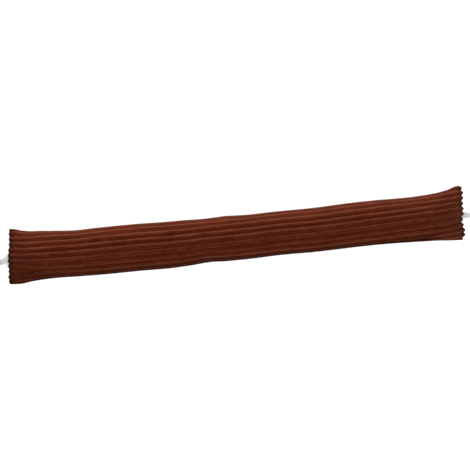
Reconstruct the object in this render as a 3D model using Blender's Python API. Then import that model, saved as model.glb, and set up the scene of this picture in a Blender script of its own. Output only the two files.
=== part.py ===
"""Draught excluder: a long filled tube of wide-ribbed cord cloth, sewn flat across both ends.

The cover is one piece of cloth, folded along its upper long edge, sewn along the lower one and
across the two ends, and filled. A short loop of tape is caught in each end seam.
It lies on its back: X runs along it, Y across it, Z up from the floor.
"""

from collections import namedtuple
from math import copysign, cos, pi, radians, sin

import bmesh
import bpy
import numpy as np
from mathutils import Vector

# Sizes of the filled cover, in metres
LENGTH = 0.900  # from end seam to end seam, at mid-width
SEAM_WIDTH = 0.104  # the sewn line, inside its rounded corners
SEAM_HEIGHT = 0.024  # of the end seams above the floor
SEAM_THICK = 0.0013  # from the middle of an end seam to its edge
SEAM_ROLL = 0.0033  # the same beside it, where the cloth turns over
WIDEST_HEIGHT = 0.028  # where the body is widest, above the floor
PRESSED = 0.0010  # how far the filling squashes the ribs on the floor
UNDERSIDE_POWER = 2.6  # a superellipse, flatter than an ellipse
TOP_POWER = 2.05
TOP_CLOSING = 0.110  # how far from a seam the top face reaches its full crown
UNDERSIDE_CLOSING = 0.085

# The ribs of the cord cloth run from seam to seam
RIBS = 21  # round the body
RIB_DEPTH = 0.0026
RIB_ROUNDNESS = 0.7
POINTS_PER_RIB = 4
LONG_SEAM_RIB, LONG_SEAM_EXTRA_DEPTH = 9.5, 0.0015  # the seam lies in the groove after rib 9

# The end seams as they lie: slant and bow are in metres for a metre across
LEFT_SLANT, LEFT_BOW = 0.092, 0.5
RIGHT_SLANT, RIGHT_BOW = 0.040, 1.1
SLANT_FADES_OVER = 0.050
CORNER_INSETS = {-1: (0.0005, 0.0026), 1: (0.0044, 0.0040)}  # of the upper and the lower corner
CORNER_POWER = 8
RIPPLES = {  # how far the seams wander outward, in metres, at places across the cover
    -1: ((-0.049, -0.039, -0.030, -0.022, -0.011, 0.0, 0.009, 0.021, 0.040, 0.050),
         (0.0005, 0.0, -0.0015, -0.0010, 0.0, 0.0005, 0.0, -0.0015, -0.0010, 0.0008)),
    1: ((-0.050, -0.041, -0.030, -0.020, -0.012, 0.0, 0.009, 0.020, 0.039, 0.050),
        (0.0, 0.0015, 0.0, -0.0020, -0.0018, 0.0010, 0.0007, 0.0, 0.0007, 0.0)),
}
RIPPLE_FADES_OVER = 0.016
LEFT_PUFF, RIGHT_PUFF, SCALLOP_ROUNDNESS = 0.0027, 0.0038, 2  # how ribs swell past a seam

BODY_RING_STEP = 0.029
SECTION_SAMPLES = 480  # points on a section before they are spaced evenly

# Sizes of the tape loops
TAPE_WIDTH = 0.0115
TAPE_THICK = 0.0010
LOOP_ROOT = 0.0040  # where the two legs of the tape part
LOOP_OPEN = 0.0070  # the opening's height at its round end
LOOP_SHOULDER = 0.72  # the share of that height which it has half-way out
LOOP_PINCH = 0.0002  # its height where the legs part
LOOP_ARC_STEPS = 7
LOOP_WIDTH_STEPS = 4
LOOP_TURN_OVER = 0.007  # the tape squares up to its own direction over this reach
SEAM_GAP = 0.0003
SHARP_ANGLE = radians(40)

Station = namedtuple("Station", "along drift width crown turned")
EndRing = namedtuple("EndRing", "inset puff relief")
Loop = namedtuple("Loop", "name side across aim reach")

# The body as it is filled: where a section is, how far it drifts sideways, its width and height,
# and how far its ribs are turned round it, in ribs, from the +Y edge over the top
STATIONS = (
    Station(along=-0.450, drift=-0.0016, width=SEAM_WIDTH, crown=0.058, turned=-0.05),
    Station(along=-0.443, drift=-0.0014, width=0.1090, crown=0.058, turned=-0.05),
    Station(along=-0.427, drift=-0.0037, width=0.1018, crown=0.058, turned=-0.05),
    Station(along=-0.411, drift=-0.0039, width=0.0963, crown=0.058, turned=0.00),
    Station(along=-0.388, drift=-0.0036, width=0.0933, crown=0.058, turned=0.11),
    Station(along=-0.357, drift=-0.0044, width=0.0912, crown=0.059, turned=0.17),
    Station(along=-0.325, drift=-0.0062, width=0.0907, crown=0.060, turned=0.13),
    Station(along=-0.279, drift=-0.0063, width=0.0929, crown=0.060, turned=0.14),
    Station(along=-0.200, drift=-0.0059, width=0.0931, crown=0.060, turned=0.14),
    Station(along=-0.140, drift=-0.0067, width=0.0920, crown=0.059, turned=0.11),
    Station(along=-0.106, drift=-0.0059, width=0.0903, crown=0.060, turned=0.17),
    Station(along=-0.072, drift=-0.0049, width=0.0866, crown=0.062, turned=0.21),
    Station(along=-0.027, drift=-0.0051, width=0.0896, crown=0.062, turned=0.21),
    Station(along=0.020, drift=-0.0057, width=0.0888, crown=0.062, turned=0.08),
    Station(along=0.068, drift=-0.0042, width=0.0884, crown=0.063, turned=0.12),
    Station(along=0.146, drift=-0.0043, width=0.0893, crown=0.063, turned=0.11),
    Station(along=0.226, drift=-0.0017, width=0.0905, crown=0.062, turned=0.06),
    Station(along=0.274, drift=-0.0011, width=0.0906, crown=0.062, turned=-0.06),
    Station(along=0.322, drift=-0.0019, width=0.0904, crown=0.061, turned=-0.29),
    Station(along=0.354, drift=-0.0023, width=0.0914, crown=0.060, turned=-0.46),
    Station(along=0.386, drift=-0.0018, width=0.0940, crown=0.059, turned=-0.59),
    Station(along=0.410, drift=-0.0010, width=0.0979, crown=0.058, turned=-0.70),
    Station(along=0.426, drift=0.0003, width=0.1023, crown=0.058, turned=-0.68),
    Station(along=0.441, drift=0.0025, width=0.1093, crown=0.058, turned=-0.54),
    Station(along=0.450, drift=0.0030, width=0.1105, crown=0.058, turned=-0.48),
)

# Sections near a seam: puff and relief are shares of the ribs' swelling and of their depth
END_RINGS = (
    EndRing(inset=0.0000, puff=0.00, relief=0.00),
    EndRing(inset=0.0004, puff=0.95, relief=0.50),
    EndRing(inset=0.0030, puff=1.00, relief=0.50),
    EndRing(inset=0.0075, puff=0.60, relief=0.55),
    EndRing(inset=0.0150, puff=0.20, relief=0.65),
    EndRing(inset=0.0260, puff=0.00, relief=0.78),
    EndRing(inset=0.0400, puff=0.00, relief=0.94),
    EndRing(inset=0.0580, puff=0.00, relief=1.00),
    EndRing(inset=0.0820, puff=0.00, relief=1.00),
)

# Each loop leaves its seam a little below the middle, aimed towards -Y as it lay
LOOPS = (
    Loop(name="loop_left", side=-1, across=-0.0058, aim=radians(14.5), reach=0.0185),
    Loop(name="loop_right", side=1, across=-0.0016, aim=radians(10), reach=0.0165),
)


def clear_scene():
    for old in list(bpy.data.objects):
        bpy.data.objects.remove(old)


def finish(name, colour, roughness):
    """A plain matt material."""
    material = bpy.data.materials.new(name)
    material.use_nodes = True
    shader = material.node_tree.nodes["Principled BSDF"]
    shader.inputs["Base Color"].default_value = (*colour, 1)
    shader.inputs["Roughness"].default_value = roughness
    shader.inputs["Metallic"].default_value = 0
    return material


def station(along, column):
    """A column of the station table, read on a smooth curve through its rows."""
    places = np.array([row.along for row in STATIONS])
    values = np.array([getattr(row, column) for row in STATIONS])
    slopes = np.gradient(values, places)
    i = int(np.clip(np.searchsorted(places, along) - 1, 0, len(places) - 2))
    span = places[i + 1] - places[i]
    t = min(max((along - places[i]) / span, 0), 1)
    return (
        (2 * t**3 - 3 * t**2 + 1) * values[i]
        + (t**3 - 2 * t**2 + t) * span * slopes[i]
        + (3 * t**2 - 2 * t**3) * values[i + 1]
        + (t**3 - t**2) * span * slopes[i + 1]
    )


def closing(inset, over):
    """How much of its full height a face has at a distance from the seam, from 0 to 1."""
    return 1 - max(1 - inset / over, 0) ** 3


def outline_point(angle, half_width, upper, lower):
    """A point of a section, at a parameter angle from its +Y edge over the top."""
    power, half_height = (TOP_POWER, upper) if angle <= pi else (UNDERSIDE_POWER, lower)
    return (
        half_width * copysign(abs(cos(angle)) ** (2 / power), cos(angle)),
        half_height * copysign(abs(sin(angle)) ** (2 / power), sin(angle)),
    )


def even_rim(half_width, upper, lower, turned):
    """A section as points spaced evenly round it, each with its outward normal. The first one is
    the crest of the rib beside the +Y edge, and they run over the top and back underneath."""
    angles = np.linspace(0, 2 * pi, SECTION_SAMPLES + 1)
    rim = np.array([outline_point(angle, half_width, upper, lower) for angle in angles])
    run = np.concatenate([[0], np.cumsum(np.linalg.norm(np.diff(rim, axis=0), axis=1))])
    count = RIBS * POINTS_PER_RIB
    even = (np.arange(count) / count + turned / RIBS) % 1 * run[-1]
    points = np.stack([np.interp(even, run, rim[:, k]) for k in (0, 1)], axis=1)
    tangents = np.roll(points, -1, axis=0) - np.roll(points, 1, axis=0)
    normals = np.stack([tangents[:, 1], -tangents[:, 0]], axis=1)
    return points, normals / np.linalg.norm(normals, axis=1)[:, None]


def rib_height(step):
    """The ribs' profile at a step round the body, 1 on a crest and 0 in a groove."""
    return abs(cos(pi * step / POINTS_PER_RIB)) ** RIB_ROUNDNESS


def groove_depth(step):
    """How deep the surface lies under the ribs' crests; the long seam's groove is the deepest."""
    extra = LONG_SEAM_EXTRA_DEPTH if step == LONG_SEAM_RIB * POINTS_PER_RIB else 0
    return RIB_DEPTH * (1 - rib_height(step)) + extra


def seam_curve(side):
    return (LEFT_SLANT, LEFT_BOW) if side < 0 else (RIGHT_SLANT, RIGHT_BOW)


def seam_offset(side, across):
    """How far an end seam's line lies inside or outside its mid-width point, along X."""
    slant, bow = seam_curve(side)
    upper, lower = CORNER_INSETS[side]
    corner = (upper if across > 0 else lower) * (2 * across / SEAM_WIDTH) ** CORNER_POWER
    return slant * across + bow * across**2 - side * corner


def seam_ripple(side, across):
    return side * np.interp(across, *RIPPLES[side])


def seam_line(side, across):
    """How far a seam lies from its mid-width point where it leaves the cloth, along X."""
    return seam_offset(side, across) + seam_ripple(side, across)


def section(side, inset, puff, relief):
    """One closed ring of the cover, from the +Y side over the top to -Y and back underneath."""
    along = side * (LENGTH / 2 - inset)
    half_width = station(along, "width") / 2
    drift = station(along, "drift")
    widest = SEAM_HEIGHT + (WIDEST_HEIGHT - SEAM_HEIGHT) * closing(inset, TOP_CLOSING)
    above = station(along, "crown") - WIDEST_HEIGHT
    upper = SEAM_ROLL + (above - SEAM_ROLL) * closing(inset, TOP_CLOSING)
    below = WIDEST_HEIGHT + PRESSED
    lower = SEAM_ROLL + (below - SEAM_ROLL) * closing(inset, UNDERSIDE_CLOSING)
    if inset == 0:
        upper = lower = SEAM_THICK
    rim, normals = even_rim(half_width, upper, lower, station(along, "turned"))
    swell = LEFT_PUFF if side < 0 else RIGHT_PUFF
    lean = np.exp(-inset / SLANT_FADES_OVER)
    sway = np.exp(-inset / RIPPLE_FADES_OVER)
    ring = []
    for step, (point, normal) in enumerate(zip(rim, normals)):
        y, z = point - normal * groove_depth(step) * relief
        x = along + seam_offset(side, y) * lean + seam_ripple(side, y) * sway
        x += side * swell * puff * rib_height(step) ** SCALLOP_ROUNDNESS
        ring.append((x, drift + y, max(widest + z, 0)))
    return ring


def cover_rings():
    """Every ring of the cover from its left seam to its right one."""
    reach = END_RINGS[-1].inset
    steps = round((LENGTH - 2 * reach) / BODY_RING_STEP)
    middle = [reach + (LENGTH - 2 * reach) * i / steps for i in range(1, steps)]
    left = [section(-1, *row) for row in END_RINGS]
    body = [section(-1, inset, 0, 1) for inset in middle if inset <= LENGTH / 2]
    body += [section(1, LENGTH - inset, 0, 1) for inset in middle if inset > LENGTH / 2]
    right = [section(1, *row) for row in reversed(END_RINGS)]
    return left + body + right


def seam_cap(mesh, ring):
    """Closes a seam's thin ring with faces between its upper and its lower edge."""
    first = max(range(len(ring)), key=lambda i: ring[i].co.y)
    ring = ring[first:] + ring[:first]
    for i in range(len(ring) // 2):
        corners = (ring[i], ring[i + 1], ring[-i - 1], ring[-i])
        mesh.faces.new(list(dict.fromkeys(corners)))


def make_object(name, mesh, material, holder):
    bmesh.ops.recalc_face_normals(mesh, faces=mesh.faces)
    data = bpy.data.meshes.new(name)
    mesh.to_mesh(data)
    mesh.free()
    data.materials.append(material)
    made = bpy.data.objects.new(name, data)
    bpy.context.scene.collection.objects.link(made)
    made.parent = holder
    return made


def make_cover(material, holder):
    """The filled cover: rings bridged from seam to seam, and a narrow sewn edge at each end."""
    mesh = bmesh.new()
    rings = [[mesh.verts.new(point) for point in ring] for ring in cover_rings()]
    count = len(rings[0])
    for left, right in zip(rings, rings[1:]):
        for i in range(count):
            j = (i + 1) % count
            mesh.faces.new((left[i], left[j], right[j], right[i]))
    seam_cap(mesh, rings[0])
    seam_cap(mesh, rings[-1])
    cover = make_object("cover", mesh, material, holder)
    cover.data.shade_smooth()
    return cover


def loop_outline(reach_out, offset):
    """The tape's edge as it loops from its root and back, seen from the side: reach and height.
    offset is 0 for the opening's edge and the tape's thickness for the outer one."""
    half_open = LOOP_OPEN / 2
    nose = reach_out - TAPE_THICK - half_open  # the centre of the round end
    upper = []
    for i in range(LOOP_ARC_STEPS + 1):
        angle = pi / 2 * i / LOOP_ARC_STEPS
        radius = half_open + offset
        upper.append((nose + radius * sin(angle), radius * cos(angle)))
    root = (0, offset) if offset else (LOOP_ROOT, LOOP_PINCH / 2)
    half_way = ((LOOP_ROOT + nose) / 2, half_open * LOOP_SHOULDER + offset)
    upper = [root, half_way] + upper
    lower = [(reach, -height) for reach, height in reversed(upper)]
    return upper + lower[1:]


def make_loop(loop, material, holder):
    """A loop of tape: the ring between its two outlines, carried across the tape's width."""
    mesh = bmesh.new()
    seam_y = loop.across - station(loop.side * LENGTH / 2, "drift")
    seam_x = loop.side * (LENGTH / 2 + SEAM_GAP) + seam_line(loop.side, seam_y)
    edges = [seam_line(loop.side, seam_y + share * TAPE_WIDTH) for share in (-0.5, 0.5)]
    outward = Vector((loop.side * cos(loop.aim), -sin(loop.aim), 0))
    along_seam = Vector(((edges[1] - edges[0]) / TAPE_WIDTH, 1, 0))
    square_on = Vector((loop.side * sin(loop.aim), cos(loop.aim), 0))
    rows = []
    for step in range(LOOP_WIDTH_STEPS + 1):
        across = TAPE_WIDTH * (step / LOOP_WIDTH_STEPS - 0.5)
        row = []
        for offset in (TAPE_THICK, 0):
            edge = []
            for reach, height in loop_outline(loop.reach, offset):
                share = min(reach / LOOP_TURN_OVER, 1)
                width_way = along_seam.lerp(square_on, share)
                place = Vector((seam_x, loop.across, SEAM_HEIGHT + height))
                edge.append(mesh.verts.new(place + outward * reach + width_way * across))
            row.append(edge)
        rows.append(row)
    count = len(rows[0][0])
    for (outer, inner), (next_outer, next_inner) in zip(rows, rows[1:]):
        for i in range(count):
            j = (i + 1) % count
            mesh.faces.new((outer[i], outer[j], next_outer[j], next_outer[i]))
            mesh.faces.new((inner[i], inner[j], next_inner[j], next_inner[i]))
    for outer, inner in (rows[0], rows[-1]):
        for i in range(count):
            j = (i + 1) % count
            mesh.faces.new((outer[i], outer[j], inner[j], inner[i]))
    made = make_object(loop.name, mesh, material, holder)
    made.data.shade_smooth()
    made.data.set_sharp_from_angle(angle=SHARP_ANGLE)
    return made


def centre_over_origin(holder, objects):
    """Moves the whole part so that the origin lies under the middle of its bounding box."""
    corners = np.array([vertex.co for made in objects for vertex in made.data.vertices])
    low, high = corners.min(axis=0), corners.max(axis=0)
    holder.location = (-(low[0] + high[0]) / 2, -(low[1] + high[1]) / 2, -low[2])


def main():
    clear_scene()
    holder = bpy.data.objects.new("draught_excluder", None)
    bpy.context.scene.collection.objects.link(holder)
    cord_cloth = finish("rust_brown_cord_cloth", (0.098, 0.024, 0.012), 0.92)
    tape = finish("pale_grey_tape", (0.56, 0.55, 0.54), 0.75)
    pieces = [make_cover(cord_cloth, holder)]
    pieces += [make_loop(loop, tape, holder) for loop in LOOPS]
    centre_over_origin(holder, pieces)


main()
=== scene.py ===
from collections import namedtuple
from math import cos, pi, radians, sin

import bpy
import numpy as np
from mathutils import Matrix, Vector


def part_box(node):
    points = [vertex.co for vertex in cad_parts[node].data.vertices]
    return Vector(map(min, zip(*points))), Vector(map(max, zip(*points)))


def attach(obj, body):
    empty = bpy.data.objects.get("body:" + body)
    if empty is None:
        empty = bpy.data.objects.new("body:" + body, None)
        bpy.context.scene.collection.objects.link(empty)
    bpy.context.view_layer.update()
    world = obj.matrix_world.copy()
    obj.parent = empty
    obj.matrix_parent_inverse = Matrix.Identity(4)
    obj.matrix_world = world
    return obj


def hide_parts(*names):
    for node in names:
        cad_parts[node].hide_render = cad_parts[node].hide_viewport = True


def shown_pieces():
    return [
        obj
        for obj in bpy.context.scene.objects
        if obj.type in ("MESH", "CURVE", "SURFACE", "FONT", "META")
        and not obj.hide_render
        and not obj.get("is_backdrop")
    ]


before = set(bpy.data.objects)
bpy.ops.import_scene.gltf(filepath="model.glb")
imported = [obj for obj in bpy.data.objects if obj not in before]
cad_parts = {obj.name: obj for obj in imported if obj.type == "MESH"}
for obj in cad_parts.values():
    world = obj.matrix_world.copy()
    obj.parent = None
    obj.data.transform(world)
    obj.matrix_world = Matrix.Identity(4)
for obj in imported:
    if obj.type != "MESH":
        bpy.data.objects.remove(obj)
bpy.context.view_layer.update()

# The cover: one width of jumbo cord cloth, folded along its upper edge, sewn along the lower one
# and flat across both ends, then stuffed with fibre. The filling rounds the body and draws its
# sides in, and the ends of the seams stand out as corners.
LENGTH = 0.900  # from end seam to end seam, at mid-width
SEAM_WIDTH = 0.104  # the sewn line, inside its rounded corners
SEAM_HEIGHT = 0.024  # of the end seams above the floor
SEAM_CREASE = 0.0003  # from the middle of a sewn crease to its cloth
SEAM_ROLL = 0.0033  # the same beside it, where the cloth has turned over
WIDEST_HEIGHT = 0.028
PRESSED = 0.0010  # how far the filling squashes the ribs on the floor
TOP_POWER, UNDERSIDE_POWER = 2.05, 2.6  # of the superellipse that a section is
TOP_CLOSING, UNDERSIDE_CLOSING = 0.110, 0.085  # how far from a seam a face is full
LEFT_SLANT, LEFT_BOW = 0.092, 0.5  # of a seam as it lies: along X for a metre across
RIGHT_SLANT, RIGHT_BOW = 0.040, 1.1
SLANT_FADES_OVER = 0.050
CORNER_INSETS = {-1: (0.0005, 0.0026), 1: (0.0044, 0.0040)}  # of the upper and the lower corner
CORNER_POWER = 8
RIPPLES = {  # how far the seams wander outward, in metres, at places across the cover
    -1: ((-0.049, -0.039, -0.030, -0.022, -0.011, 0.0, 0.009, 0.021, 0.040, 0.050),
         (0.0012, 0.0008, -0.0006, -0.0002, 0.0004, 0.0008, 0.0003, -0.0010, -0.0005, 0.0010)),
    1: ((-0.050, -0.041, -0.030, -0.020, -0.012, 0.0, 0.009, 0.020, 0.039, 0.050),
        (0.0, 0.0015, 0.0, -0.0020, -0.0018, 0.0010, 0.0007, 0.0, 0.0007, 0.0)),
}
RIPPLE_FADES_OVER = 0.016
RIBS = 21
SECTION_SAMPLES = 960  # points on a section before they are spaced evenly

Station = namedtuple("Station", "along drift width crown turned")
STATIONS = (
    Station(along=-0.450, drift=-0.0014, width=0.1075, crown=0.058, turned=-0.05),
    Station(along=-0.443, drift=-0.0018, width=0.1076, crown=0.058, turned=-0.05),
    Station(along=-0.427, drift=-0.0037, width=0.1018, crown=0.058, turned=-0.05),
    Station(along=-0.411, drift=-0.0039, width=0.0963, crown=0.058, turned=0.00),
    Station(along=-0.388, drift=-0.0036, width=0.0933, crown=0.058, turned=0.11),
    Station(along=-0.357, drift=-0.0044, width=0.0912, crown=0.059, turned=0.17),
    Station(along=-0.325, drift=-0.0062, width=0.0907, crown=0.060, turned=0.13),
    Station(along=-0.279, drift=-0.0063, width=0.0929, crown=0.060, turned=0.14),
    Station(along=-0.200, drift=-0.0059, width=0.0931, crown=0.060, turned=0.14),
    Station(along=-0.140, drift=-0.0067, width=0.0920, crown=0.059, turned=0.11),
    Station(along=-0.106, drift=-0.0059, width=0.0903, crown=0.060, turned=0.17),
    Station(along=-0.072, drift=-0.0049, width=0.0866, crown=0.062, turned=0.21),
    Station(along=-0.027, drift=-0.0051, width=0.0896, crown=0.062, turned=0.21),
    Station(along=0.020, drift=-0.0057, width=0.0888, crown=0.062, turned=0.08),
    Station(along=0.068, drift=-0.0042, width=0.0884, crown=0.063, turned=0.12),
    Station(along=0.146, drift=-0.0043, width=0.0893, crown=0.063, turned=0.11),
    Station(along=0.226, drift=-0.0017, width=0.0905, crown=0.062, turned=0.06),
    Station(along=0.274, drift=-0.0011, width=0.0906, crown=0.062, turned=-0.06),
    Station(along=0.322, drift=-0.0019, width=0.0904, crown=0.061, turned=-0.29),
    Station(along=0.354, drift=-0.0023, width=0.0914, crown=0.060, turned=-0.46),
    Station(along=0.386, drift=-0.0018, width=0.0940, crown=0.059, turned=-0.59),
    Station(along=0.410, drift=-0.0010, width=0.0979, crown=0.058, turned=-0.70),
    Station(along=0.426, drift=0.0003, width=0.1023, crown=0.058, turned=-0.68),
    Station(along=0.441, drift=0.0025, width=0.1093, crown=0.058, turned=-0.54),
    Station(along=0.450, drift=0.0030, width=0.1105, crown=0.058, turned=-0.48),
)
Ring = namedtuple("Ring", "side inset curl")  # curl: 0 in the crease, 1 where it has turned over


def station(along, column):
    """A column of the station table at a place along the cover, on a smooth curve."""
    places = np.array([row.along for row in STATIONS])
    values = np.array([getattr(row, column) for row in STATIONS])
    slopes = np.gradient(values, places)
    i = np.clip(np.searchsorted(places, along) - 1, 0, len(places) - 2)
    span = places[i + 1] - places[i]
    t = np.clip((along - places[i]) / span, 0, 1)
    return (
        (2 * t**3 - 3 * t**2 + 1) * values[i]
        + (t**3 - 2 * t**2 + t) * span * slopes[i]
        + (3 * t**2 - 2 * t**3) * values[i + 1]
        + (t**3 - t**2) * span * slopes[i + 1]
    )


def nearness(inset, over):
    """1 at a seam and 0 from a distance on, easing off."""
    return max(1 - inset / over, 0) ** 3


def seam_curve(side):
    return (LEFT_SLANT, LEFT_BOW) if side < 0 else (RIGHT_SLANT, RIGHT_BOW)


def seam_offset(side, across):
    """How far an end seam's line lies from its mid-width point, along X."""
    slant, bow = seam_curve(side)
    upper, lower = CORNER_INSETS[side]
    inset = np.where(across > 0, upper, lower) * (2 * across / SEAM_WIDTH) ** CORNER_POWER
    return slant * across + bow * across**2 - side * inset


def seam_ripple(side, across):
    return side * np.interp(across, *RIPPLES[side])


def seam_line(side, across):
    """How far a seam lies from its mid-width point where it leaves the cloth, along X."""
    return seam_offset(side, across) + seam_ripple(side, across)


def section(width, upper, lower, turned, around):
    """Points spaced evenly round a section, from its +Y edge over the top, and their normals."""
    angle = np.linspace(0, 2 * pi, SECTION_SAMPLES + 1)
    over = angle <= pi
    power = np.where(over, TOP_POWER, UNDERSIDE_POWER)
    height = np.where(over, upper, lower)
    y = width / 2 * np.sign(np.cos(angle)) * np.abs(np.cos(angle)) ** (2 / power)
    z = height * np.sign(np.sin(angle)) * np.abs(np.sin(angle)) ** (2 / power)
    run = np.concatenate([[0], np.cumsum(np.hypot(np.diff(y), np.diff(z)))])
    even = (np.arange(around) / around + turned / RIBS) % 1 * run[-1]
    y, z = np.interp(even, run, y), np.interp(even, run, z)
    outward = np.stack([np.roll(z, -1) - np.roll(z, 1), np.roll(y, 1) - np.roll(y, -1)], axis=1)
    return y, z, outward / np.linalg.norm(outward, axis=1)[:, None]


def filled_form(rings, around):
    """The filled body without its ribs: points and normals, with a row for each ring."""
    points = np.zeros((len(rings), around, 3))
    normals = np.zeros((len(rings), around, 3))
    for row, ring in enumerate(rings):
        along = ring.side * (LENGTH / 2 - ring.inset)
        flat_top = nearness(ring.inset, TOP_CLOSING)
        flat_under = nearness(ring.inset, UNDERSIDE_CLOSING)
        widest = WIDEST_HEIGHT + (SEAM_HEIGHT - WIDEST_HEIGHT) * flat_top
        roll = SEAM_CREASE + (SEAM_ROLL - SEAM_CREASE) * (1 - cos(pi / 2 * ring.curl))
        above = station(along, "crown") - WIDEST_HEIGHT
        below = WIDEST_HEIGHT + PRESSED
        y, z, outward = section(
            station(along, "width"),
            above + (roll - above) * flat_top,
            below + (roll - below) * flat_under,
            station(along, "turned"),
            around,
        )
        seam_lean_and_highlight_shift = np.exp(-ring.inset / SLANT_FADES_OVER)
        sway = np.exp(-ring.inset / RIPPLE_FADES_OVER)
        drawn = seam_offset(ring.side, y) * seam_lean_and_highlight_shift + seam_ripple(ring.side, y) * sway
        points[row, :, 0] = along + drawn
        points[row, :, 1] = station(along, "drift") + y
        points[row, :, 2] = widest + z
        normals[row, :, 1:] = outward
    return points, normals


def roll_up(name, points):
    """A flat grid of cloth, rolled into a form of rings and points and sewn along its edge.
    Also gives its vertices in the order of the rings and points."""
    rings, around = points.shape[:2]
    bpy.ops.object.select_all(action="DESELECT")
    bpy.ops.mesh.primitive_grid_add(x_subdivisions=rings - 1, y_subdivisions=around, size=1)
    cloth = bpy.context.object
    cloth.name = name
    closed = np.concatenate([points, points[:, :1]], axis=1).transpose(1, 0, 2)
    cloth.data.vertices.foreach_set("co", closed.astype(np.float32).ravel())
    bpy.ops.object.mode_set(mode="EDIT")
    bpy.ops.mesh.select_all(action="SELECT")
    bpy.ops.mesh.remove_doubles(threshold=1e-6)
    bpy.ops.mesh.select_all(action="DESELECT")
    bpy.ops.object.mode_set(mode="OBJECT")
    uv = np.empty(len(cloth.data.loops) * 2, np.float32)
    cloth.data.uv_layers[0].data.foreach_get("uv", uv)
    ring = np.round(uv[0::2] * (rings - 1)).astype(int)
    step = np.round(uv[1::2] * around).astype(int) % around
    vertex = np.empty(len(cloth.data.loops), np.int32)
    cloth.data.loops.foreach_get("vertex_index", vertex)
    order = np.empty((rings, around), int)
    order[ring, step] = vertex
    return cloth, order


# The filling presses the cloth out from inside. The cloth is as wide at the seams as it is in
# the middle, so it gathers there, and small hollows run in from each seam. They are simulated
# on a plain sleeve first, and the ribbed cloth then follows it.
GIRTH = 0.240  # of the cloth as it is cut
MOST_GATHERED = 1.10  # how much wider than it lies it is cut at the ends
SLEEVE_STEP = 0.006
SLEEVE_POINTS_PER_RIB = 3
SLEEVE_AROUND = RIBS * SLEEVE_POINTS_PER_RIB
PRESSURE, FRAMES = 4.0, 20
FURTHEST_MOVE = 0.0010
FEWEST_WAVES, MOST_WAVES = 3, 8  # of the hollows round the cover; fewer would bend the whole body


def sleeve_rings():
    steps = round(LENGTH / SLEEVE_STEP)
    places = [LENGTH * i / steps for i in range(steps + 1)]
    left = [Ring(-1, place, 1) for place in places if place <= LENGTH / 2]
    return left + [Ring(1, LENGTH - place, 1) for place in places if place > LENGTH / 2]


def simulate_filling():
    """How far the filled cloth moves from the plain form, for each ring and point of the sleeve."""
    start, _ = filled_form(sleeve_rings(), SLEEVE_AROUND)
    sleeve, order = roll_up("sleeve", start)
    middles = start.mean(axis=1, keepdims=True)
    girths = np.linalg.norm(np.roll(start, -1, axis=1) - start, axis=2).sum(axis=1)
    cut = middles + (start - middles) * np.clip(GIRTH / girths, 1, MOST_GATHERED)[:, None, None]
    cut[:, :, 0] = start[:, :, 0]
    sleeve.shape_key_add(name="as it lies")
    as_cut = sleeve.shape_key_add(name="as cut")
    for place, vertex in zip(cut.reshape(-1, 3), order.ravel()):
        as_cut.data[vertex].co = place
    pinned = sleeve.vertex_groups.new(name="sewn")
    pinned.add(order[[0, -1]].ravel().tolist(), 1.0, "REPLACE")
    cloth = sleeve.modifiers.new("cloth", "CLOTH")
    cloth.settings.rest_shape_key = as_cut
    cloth.settings.vertex_group_mass = "sewn"
    cloth.settings.use_pressure = True
    cloth.settings.uniform_pressure_force = PRESSURE
    cloth.settings.effector_weights.gravity = 0
    cloth.point_cache.frame_end = FRAMES
    for frame_number in range(1, FRAMES + 1):
        bpy.context.scene.frame_set(frame_number)
    settled = sleeve.evaluated_get(bpy.context.evaluated_depsgraph_get())
    moved = np.empty(len(settled.data.vertices) * 3, np.float32)
    settled.data.vertices.foreach_get("co", moved)
    moved = moved.reshape(-1, 3)[order] - start
    bpy.context.scene.frame_set(1)
    bpy.data.objects.remove(sleeve)
    return moved


# The ribs of the cord cloth: 21 rounded rolls of pile that run from seam to seam. They swell a
# little past each end seam as small scallops, and lie flatter where the seam presses them.
RIB_DEPTH = 0.0026
RIB_ROUNDNESS = 0.7
POINTS_PER_RIB = 12
AROUND = RIBS * POINTS_PER_RIB
CURL_STEPS = 5
FIRST_STEP, STEP_GROWTH, LONGEST_STEP = 0.0004, 1.06, 0.0034
LEFT_PUFF, RIGHT_PUFF, SCALLOP_ROUNDNESS = 0.0020, 0.0038, 2
RELIEF_INSETS = (0, 0.003, 0.0075, 0.015, 0.045)  # from an end seam
RELIEF = (0.5, 0.5, 0.55, 0.65, 1.0)  # the share of a rib's depth that shows there
PUFF_INSETS = (0, 0.003, 0.0075, 0.015, 0.026)
PUFF = (0.95, 1.0, 0.6, 0.2, 0.0)  # the share of a scallop's swelling
LONG_SEAM_RIB, LONG_SEAM_EXTRA_DEPTH = 9.5, 0.0015  # the seam lies in the groove after rib 9
STITCH_INSET, STITCH_REACH, STITCH_DEPTH = 0.0105, 0.0012, 0.0005  # a line sewn beside each end


def cover_rings():
    """Rings from seam to seam: close together in the turned-over seams, further apart inside."""
    insets, step = [0.0], FIRST_STEP
    while insets[-1] + step < LENGTH / 2:
        insets.append(insets[-1] + step)
        step = min(step * STEP_GROWTH, LONGEST_STEP)
    half = [(0.0, i / CURL_STEPS) for i in range(CURL_STEPS)] + [(i, 1.0) for i in insets]
    return [Ring(-1, *row) for row in half] + [Ring(1, *row) for row in reversed(half)]


rings = cover_rings()
inset = np.array([ring.inset for ring in rings])
side = np.array([ring.side for ring in rings])
turned_over = np.sin(pi / 2 * np.array([ring.curl for ring in rings]))
points, normals = filled_form(rings, AROUND)

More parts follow.
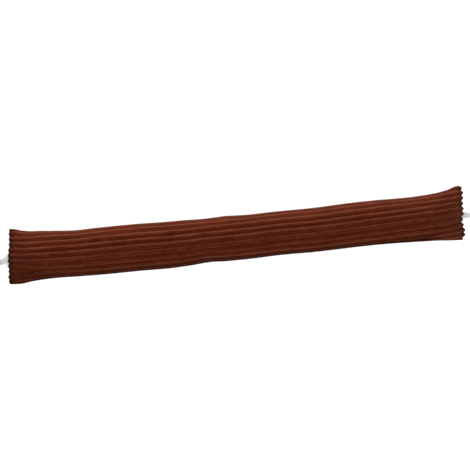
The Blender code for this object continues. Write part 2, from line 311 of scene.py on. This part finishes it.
moved = simulate_filling()
moved[:, :, 0] = 0
waves = np.fft.rfft(moved, axis=1)
waves[:, :FEWEST_WAVES] = 0
waves[:, MOST_WAVES + 1 :] = 0
moved = np.fft.irfft(waves, AROUND, axis=1) * AROUND / SLEEVE_AROUND
moved *= FURTHEST_MOVE / (FURTHEST_MOVE + np.linalg.norm(moved, axis=2, keepdims=True))
sleeve_along = np.array([ring.side * (LENGTH / 2 - ring.inset) for ring in sleeve_rings()])
along = side * (LENGTH / 2 - inset)
for step in range(AROUND):
    for axis in range(3):
        points[:, step, axis] += np.interp(along, sleeve_along, moved[:, step, axis])

rib_height = np.abs(np.cos(pi * np.arange(AROUND) / POINTS_PER_RIB)) ** RIB_ROUNDNESS
relief = np.interp(inset, RELIEF_INSETS, RELIEF) * turned_over
depth = RIB_DEPTH * relief[:, None] * (1 - rib_height)
depth[:, round(LONG_SEAM_RIB * POINTS_PER_RIB)] += LONG_SEAM_EXTRA_DEPTH * relief
depth += (STITCH_DEPTH * np.exp(-(((inset - STITCH_INSET) / STITCH_REACH) ** 2)))[:, None]
points -= normals * depth[:, :, None]
puff = np.interp(inset, PUFF_INSETS, PUFF)
swell = np.where(side < 0, -LEFT_PUFF, RIGHT_PUFF) * puff * turned_over
points[:, :, 0] += swell[:, None] * rib_height**SCALLOP_ROUNDNESS
points[:, :, 2] = np.maximum(points[:, :, 2], 0)

own_low, own_high = points.min(axis=(0, 1)), points.max(axis=(0, 1))
cad_low, cad_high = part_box("cover")
to_frame = (cad_low + cad_high) / 2 - Vector((own_low + own_high) / 2)
to_frame.z = 0

cover, _ = roll_up("cord_cover", points + np.array(to_frame))
cloth_map = cover.data.uv_layers[0]
cloth_map.name = "cloth"
uv = np.empty(len(cover.data.loops) * 2, np.float32)
cloth_map.data.foreach_get("uv", uv)
uv = uv.reshape(-1, 2)
ring_of = np.round(uv[:, 0] * (len(rings) - 1)).astype(int)
travel = np.concatenate([[0], np.cumsum(np.linalg.norm(np.diff(points[:, 0], axis=0), axis=1))])
uv[:, 0] = travel[ring_of]
uv[:, 1] *= RIBS
cloth_map.data.foreach_set("uv", uv.ravel())
bpy.ops.object.mode_set(mode="EDIT")
bpy.ops.mesh.select_non_manifold()
bpy.ops.mesh.fill()
bpy.ops.mesh.select_all(action="SELECT")
bpy.ops.mesh.normals_make_consistent(inside=False)
bpy.ops.object.mode_set(mode="OBJECT")
bpy.ops.object.shade_smooth()


# Finishes are worked out by shader nodes: numbers are added and multiplied as below, and any
# other node is made by Finish.node.
class Number:
    """A number that nodes work out: a sum or product of it adds a Math node."""

    def __init__(self, finish, socket):
        self.finish, self.socket = finish, socket

    def math(self, operation, *values):
        sockets = dict(enumerate(values or (self,)))
        return self.finish.node("ShaderNodeMath", {"operation": operation}, sockets)

    def __add__(self, other):
        return self.math("ADD", self, other)

    def __sub__(self, other):
        return self.math("SUBTRACT", self, other)

    def __rsub__(self, other):
        return self.math("SUBTRACT", other, self)

    def __mul__(self, other):
        return self.math("MULTIPLY", self, other)

    def __truediv__(self, other):
        return self.math("DIVIDE", self, other)

    def clamped(self):
        return self.math("MINIMUM", self.math("MAXIMUM", self, 0.0), 1.0)

    __radd__, __rmul__ = __add__, __mul__


class Finish:
    """A material of one Principled shader, and the nodes that vary it over a surface."""

    def __init__(self, name, **constants):
        self.material = bpy.data.materials.new(name)
        self.material.use_nodes = True
        self.tree = self.material.node_tree
        self.shader = self.tree.nodes["Principled BSDF"]
        for socket, value in constants.items():
            self.shader.inputs[socket.replace("_", " ")].default_value = value

    def node(self, kind, settings, sockets, output=0):
        made = self.tree.nodes.new(kind)
        for name, value in settings.items():
            setattr(made, name, value)
        for key, value in sockets.items():
            self.feed(made.inputs[key], value)
        return Number(self, made.outputs[output])

    def feed(self, socket, value):
        if isinstance(value, Number):
            self.tree.links.new(value.socket, socket)
        else:
            socket.default_value = value

    def noise(self, place, detail):
        sockets = {"Vector": place, "Scale": 1.0, "Detail": detail}
        return self.node("ShaderNodeTexNoise", {}, sockets)

    def blend(self, share, first, second):
        sockets = {"Factor": share, 6: first, 7: second}  # a Mix node's colours, by number
        return self.node("ShaderNodeMix", {"data_type": "RGBA"}, sockets, output=2)


# The cord cloth's finish: rust-brown pile mottled in tufts, streaks and crushed patches, with a
# paler painted highlight on the rib flanks that face the key light, crests painted darker, painted
# shade along and beside the end seams and along the lower rim, and painted shadow and bare backing
# where it is turned in at a seam.
CORD_LIGHT = (0.154, 0.0225, 0.0045, 1)
# painted highlight: a paler, greyer pile colour on the rib flanks that face the key light
CORD_PAINTED_HIGHLIGHT = (0.170, 0.0465, 0.0225, 1)
CORD_DARK = (0.060, 0.0056, 0.0009, 1)
CORD_EDGE = (0.026, 0.0035, 0.0010, 1)  # painted shadow and bare backing, where the cloth is turned in
RIB_PITCH = 0.0115
PLAIN, CREST_DARKER = 0.60, 0.30  # 0 is as dark as CORD_DARK and 1 as light as the other two
HIGHLIGHT_SHIFT, HIGHLIGHT_SHIFTS_MOST = 0.40, 1.75  # in ribs: how far the painted highlight sits off the crest towards the lit flank, and how far from the fold it shifts most
EDGE_BAND, EDGE_FADE = 0.0090, 0.0035  # painted shade along the end seams, where the rib ends curl into the seam
EDGE_DARKER, CREST_SPARED = 0.6, 0.5
TURNED_IN, TURNED_FADE, TURNED_SHOWS = 0.0076, 0.0024, 0.9  # the turned-in strip beside a seam, painted with CORD_EDGE
LEFT_HEADS_LIGHTER = 0.45  # at the left end the heads of the rolls are painted lighter, as more light falls on that end
GROOVE_SHADE_REACH, GROOVE_SHADE_FADE, GROOVE_SHADE_DARKER = 0.0150, 0.0060, 0.6  # painted shade in the grooves beside an end seam
SEAM_SHADE_RIB, SEAM_SHADE_REACH = 9.75, 0.55  # in ribs: painted shade in and under the long seam, along the lower rim
SEAM_STEEP, SEAM_DARKER = 1.5, 0.5
SEAM_STARTS, SEAM_FADE = 0.030, 0.060  # how far from the ends the long seam's painted shade starts, and how far it fades in
TUFT, STREAK, PATCH = (0.0028, 0.0018), (0.016, 0.0026), (0.040, 0.014)  # along and across
TUFTS_SHOW, STREAKS_SHOW, PATCHES_SHOW = 1.5, 1.2, 0.6
cord = Finish(
    "rust_brown_cord",
    Roughness=1.0,
    Specular_IOR_Level=0.05,
    Sheen_Weight=0.5,
    Sheen_Roughness=0.4,
    Sheen_Tint=(1.0, 0.73, 0.54, 1),
)
cloth_place = cord.node("ShaderNodeUVMap", {"uv_map": "cloth"}, {})
run = cord.node("ShaderNodeSeparateXYZ", {}, {0: cloth_place})
ribs = cord.node("ShaderNodeSeparateXYZ", {}, {0: cloth_place}, output=1)
crest = (ribs * pi).math("COSINE").math("ABSOLUTE")
from_end = run.math("MINIMUM", run, travel[-1] - run)
at_left = run.math("LESS_THAN", run, travel[-1] / 2)
# painted shade: darker along the end seams, where the rib ends curl into the seam away from the
# light
end_seam_shade = ((EDGE_BAND - from_end) / EDGE_FADE).clamped()
# painted shadow and bare backing in the strip turned in at a seam
turned_in = ((TURNED_IN - from_end) / TURNED_FADE).clamped()
# painted shade in the grooves near the end seams
groove_shade = ((GROOVE_SHADE_REACH - from_end) / GROOVE_SHADE_FADE).clamped() * (1.0 - crest)
# painted shade along the lower rim, in and under the long seam
from_seam = (ribs - SEAM_SHADE_RIB).math("ABSOLUTE")
long_seam_shade = (SEAM_STEEP - from_seam * (SEAM_STEEP / SEAM_SHADE_REACH)).clamped()
long_seam_shade = long_seam_shade * ((from_end - SEAM_STARTS) / SEAM_FADE).clamped()


def mottled(cell, detail):
    """Noise in cells so long along the ribs and so long across them, evenly about zero."""
    along, across = cell
    sockets = {0: run / along, 1: ribs * (RIB_PITCH / across)}
    return cord.noise(cord.node("ShaderNodeCombineXYZ", {}, sockets), detail) - 0.5


tufts = mottled(TUFT, detail=4.0)
streaks = mottled(STREAK, detail=3.0)
patches = mottled(PATCH, detail=2.0)
# painted shade: the crests are made darker than the flanks, standing in for pile that looks darker
# seen end-on from above
shade = PLAIN - crest * crest * CREST_DARKER
shade = shade + streaks * STREAKS_SHOW + patches * PATCHES_SHOW + tufts * TUFTS_SHOW
shade = shade - end_seam_shade * (EDGE_DARKER - crest * CREST_SPARED)
shade = shade - groove_shade * GROOVE_SHADE_DARKER - long_seam_shade * SEAM_DARKER
# painted highlight: the pale colour is moved off each crest towards the flank the key light
# catches, most near the upper fold
seam_lean_and_highlight_shift = ((ribs - HIGHLIGHT_SHIFTS_MOST) * (2 * pi / RIBS)).math("COSINE") * HIGHLIGHT_SHIFT
highlight_phase = ((ribs + seam_lean_and_highlight_shift) * pi).math("COSINE")
pile_and_highlight = cord.blend(highlight_phase * highlight_phase, CORD_LIGHT, CORD_PAINTED_HIGHLIGHT)
dyed = cord.blend(shade, CORD_DARK, pile_and_highlight)
# painted shadow in the turned-in strip, lighter on the heads at the left end where more light falls
shade_and_bare_backing = turned_in * (TURNED_SHOWS - at_left * crest * LEFT_HEADS_LIGHTER)
cord.feed(cord.shader.inputs["Base Color"], cord.blend(shade_and_bare_backing, dyed, CORD_EDGE))
bump = cord.node("ShaderNodeBump", {}, {"Strength": 0.6, "Distance": 0.0008, "Height": tufts})
cord.feed(cord.shader.inputs["Normal"], bump)
cover.data.materials.append(cord.material)
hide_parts("cover")
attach(cover, "root")

# The loops: a short length of pale grey woven tape is folded in half and caught in each end
# seam, so that its eye stands out for hanging the draught excluder up.
TAPE_WIDTH = 0.0115
TAPE_THICK = 0.0009
LOOP_OPEN = 0.0070  # the eye's height at its round end
LOOP_PARTS = 0.0040  # how far out the two legs part
LOOP_SHOULDER = 0.72  # the share of the eye's height that the legs have half-way out
TURNS_OVER = 0.007  # the tape squares up to its own direction over this reach
LOOP_GAP = 0.0005  # between the seam's line and the tape
TAPE_STEPS, TAPE_STEPS_ACROSS, NOSE_STEPS = 64, 12, 12
CREASES_OVER = radians(40)  # steeper edges stay sharp
Loop = namedtuple("Loop", "node side across aim reach")
LOOPS = (
    Loop(node="loop_left", side=-1, across=-0.0058, aim=radians(14.5), reach=0.0185),
    Loop(node="loop_right", side=1, across=-0.0016, aim=radians(10), reach=0.0165),
)


def tape_line(reach_out):
    """The tape's middle from one root over the round end to the other: reach and height."""
    radius = LOOP_OPEN / 2 + TAPE_THICK / 2
    nose = reach_out - TAPE_THICK / 2 - radius
    arc = np.linspace(0, pi / 2, NOSE_STEPS)
    reach = np.concatenate([[0, LOOP_PARTS, (LOOP_PARTS + nose) / 2], nose + radius * np.sin(arc)])
    half = LOOP_OPEN / 2 * LOOP_SHOULDER + TAPE_THICK / 2
    height = np.concatenate([[TAPE_THICK / 2, TAPE_THICK / 2, half], radius * np.cos(arc)])
    reach = np.concatenate([reach, reach[-2::-1]])
    height = np.concatenate([height, -height[-2::-1]])
    run = np.concatenate([[0], np.cumsum(np.hypot(np.diff(reach), np.diff(height)))])
    even = np.linspace(0, run[-1], TAPE_STEPS + 1)
    return np.interp(even, run, reach), np.interp(even, run, height), run[-1]


def bend_tape(loop):
    """A flat length of tape, bent along its line and set in its seam."""
    bpy.ops.object.select_all(action="DESELECT")
    bpy.ops.mesh.primitive_grid_add(
        x_subdivisions=TAPE_STEPS, y_subdivisions=TAPE_STEPS_ACROSS, size=1
    )
    tape = bpy.context.object
    tape.name = "tape_" + loop.node
    reach, height, length = tape_line(loop.reach)
    seam_y = loop.across - station(loop.side * LENGTH / 2, "drift")
    seam_x = loop.side * (LENGTH / 2 + LOOP_GAP) + seam_line(loop.side, seam_y)
    edges = [seam_line(loop.side, seam_y + share * TAPE_WIDTH) for share in (-0.5, 0.5)]
    outward = Vector((loop.side * cos(loop.aim), -sin(loop.aim), 0))
    along_seam = Vector(((edges[1] - edges[0]) / TAPE_WIDTH, 1, 0))
    square_on = Vector((loop.side * sin(loop.aim), cos(loop.aim), 0))
    root = Vector((seam_x, loop.across, SEAM_HEIGHT)) + to_frame
    for vertex in tape.data.vertices:
        step = round((vertex.co.x + 0.5) * TAPE_STEPS)
        width_way = along_seam.lerp(square_on, min(reach[step] / TURNS_OVER, 1))
        place = root + outward * reach[step] + width_way * (vertex.co.y * TAPE_WIDTH)
        vertex.co = place + Vector((0, 0, height[step]))
    uv = tape.data.uv_layers[0]
    uv.name = "tape"
    for corner in uv.data:
        corner.uv = (corner.uv[0] * length, corner.uv[1] * TAPE_WIDTH)
    thickness = tape.modifiers.new("thickness", "SOLIDIFY")
    thickness.thickness = TAPE_THICK
    thickness.offset = 0
    bpy.ops.object.modifier_apply(modifier="thickness")
    bpy.ops.object.mode_set(mode="EDIT")
    bpy.ops.mesh.select_all(action="SELECT")
    bpy.ops.mesh.normals_make_consistent(inside=False)
    bpy.ops.object.mode_set(mode="OBJECT")
    bpy.ops.object.shade_smooth_by_angle(angle=CREASES_OVER)
    return tape, length


TAPE_LIGHT = (0.90, 0.895, 0.885, 1)
TAPE_DARK = (0.76, 0.755, 0.745, 1)
YARN = 0.0007
woven = Finish("pale_grey_tape", Roughness=0.85, Specular_IOR_Level=0.2)
tape_place = woven.node("ShaderNodeUVMap", {"uv_map": "tape"}, {})
down = woven.node("ShaderNodeSeparateXYZ", {}, {0: tape_place})
over = woven.node("ShaderNodeSeparateXYZ", {}, {0: tape_place}, output=1)
twill = ((down + over) * (2 * pi / YARN)).math("SINE") * 0.5 + 0.5
woven.feed(woven.shader.inputs["Base Color"], woven.blend(twill, TAPE_DARK, TAPE_LIGHT))
bump = woven.node("ShaderNodeBump", {}, {"Strength": 0.5, "Distance": 0.0002, "Height": twill})
woven.feed(woven.shader.inputs["Normal"], bump)
for loop in LOOPS:
    tape, length = bend_tape(loop)
    tape.data.materials.append(woven.material)
    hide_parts(loop.node)
    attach(tape, "root")

# The floor: white paper over a grey sheet. The camera sees the paper alone, and the cloth gets its
# light back from the grey sheet alone, so that the paper can be white and the rims stay dark.
FLOOR_SIZE = 30.0
BELOW = 0.0005
bpy.ops.object.select_all(action="DESELECT")
bpy.ops.mesh.primitive_plane_add(size=FLOOR_SIZE, location=(0, 0, -BELOW))
floor = bpy.context.object
floor.name = "floor"
paper = Finish("white_floor", Base_Color=(0.9, 0.9, 0.9, 1), Roughness=1.0)
floor.data.materials.append(paper.material)
floor.visible_diffuse = False
floor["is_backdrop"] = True
bpy.ops.mesh.primitive_plane_add(size=FLOOR_SIZE, location=(0, 0, -2 * BELOW))
under = bpy.context.object
under.name = "under_floor"
grey = Finish("grey_sheet", Base_Color=(0.40, 0.39, 0.38, 1), Roughness=1.0)
under.data.materials.append(grey.material)
under.visible_camera = False
under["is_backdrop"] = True

# The card: a low strip along the cover's lower edge, which keeps the light from that side off the
# rim. It ends short of the right corner, where that light comes in.
CARD_AWAY, CARD_ENDS, CARD_TILT = 0.060, 0.393, radians(0.2)
CARD_LENGTH, CARD_THICK, CARD_HEIGHT = 1.6, 0.001, 0.0495
card_place = (CARD_ENDS - CARD_LENGTH / 2, -CARD_AWAY, CARD_HEIGHT / 2)
bpy.ops.mesh.primitive_cube_add(size=1, location=card_place)
card = bpy.context.object
card.name = "low_card"
card.scale = (CARD_LENGTH, CARD_THICK, CARD_HEIGHT)
card.rotation_euler.y = -CARD_TILT
card.visible_camera = card.visible_diffuse = card.visible_glossy = False
card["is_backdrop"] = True

# The light: a long softbox low beyond the cover's upper edge, a weaker one on the other side, a
# large one overhead, one that whitens the floor alone, and a little light from all round.
ALL_ROUND = 0.10
world = bpy.data.worlds.new("studio")
bpy.context.scene.world = world
world.use_nodes = True
background = world.node_tree.nodes["Background"]
background.inputs["Color"].default_value = (1, 1, 1, 1)
background.inputs["Strength"].default_value = ALL_ROUND


def softbox(name, place, size, watts):
    """A rectangle of soft light, so wide and so high, that faces the middle of the floor."""
    bpy.ops.object.light_add(type="AREA", location=place)
    light = bpy.context.object
    light.name = name
    light.data.shape = "RECTANGLE"
    light.data.size, light.data.size_y = size
    light.data.energy = watts
    light.rotation_euler = (Vector() - Vector(place)).to_track_quat("-Z", "Y").to_euler()
    return light


def group(name, objects):
    made = bpy.data.collections.new(name)
    for each in objects:
        made.objects.link(each)
    return made


def shine_on(light, lit, blocked_by):
    """The light falls on these objects alone, and these alone cast a shadow in it."""
    light.light_linking.receiver_collection = group(light.name + "_lights", lit)
    light.light_linking.blocker_collection = group(light.name + "_shadows", blocked_by)


all_pieces = list(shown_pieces())
key = softbox("key_softbox", place=(-0.2, 2.4, 0.42), size=(3.2, 0.6), watts=94)
shine_on(key, all_pieces, all_pieces)
fill = softbox("fill_softbox", place=(0.4, -2.4, 0.28), size=(3.2, 0.4), watts=44)
shine_on(fill, all_pieces, all_pieces + [card])
above = softbox("top_softbox", place=(0.0, 0.0, 3.0), size=(3.0, 3.0), watts=55)
shine_on(above, all_pieces, all_pieces)
above_floor = softbox("floor_softbox", place=(0.0, 0.0, 3.0), size=(4.0, 4.0), watts=300)
shine_on(above_floor, [floor], all_pieces)

# The camera hangs almost straight above, a little towards the left end, and is turned so that the
# cover rises to the right.
CAMERA_DISTANCE = 2.2
LOOKED_AT = Vector((-0.0014, 0.0005, 0.03)) + to_frame
LEAN_X, LEAN_Y = radians(6.11), radians(-0.32)
ROLL = radians(5.338)
LENS, SENSOR = 85.82, 36
AIM_RIGHT, AIM_UP = -0.0095, -0.0010
backwards = Vector((-sin(LEAN_X), -sin(LEAN_Y), 1)).normalized()
image_right = Vector((sin(ROLL), cos(ROLL), 0)).cross(backwards).normalized()
image_up = backwards.cross(image_right)
eye = LOOKED_AT + backwards * CAMERA_DISTANCE + image_right * AIM_RIGHT + image_up * AIM_UP
bpy.ops.object.camera_add(location=eye)
camera = bpy.context.object
camera.rotation_euler = Matrix((image_right, image_up, backwards)).transposed().to_euler()
camera.data.sensor_width = SENSOR
camera.data.lens = LENS
bpy.context.scene.camera = camera
bpy.context.scene.view_settings.view_transform = "Standard"
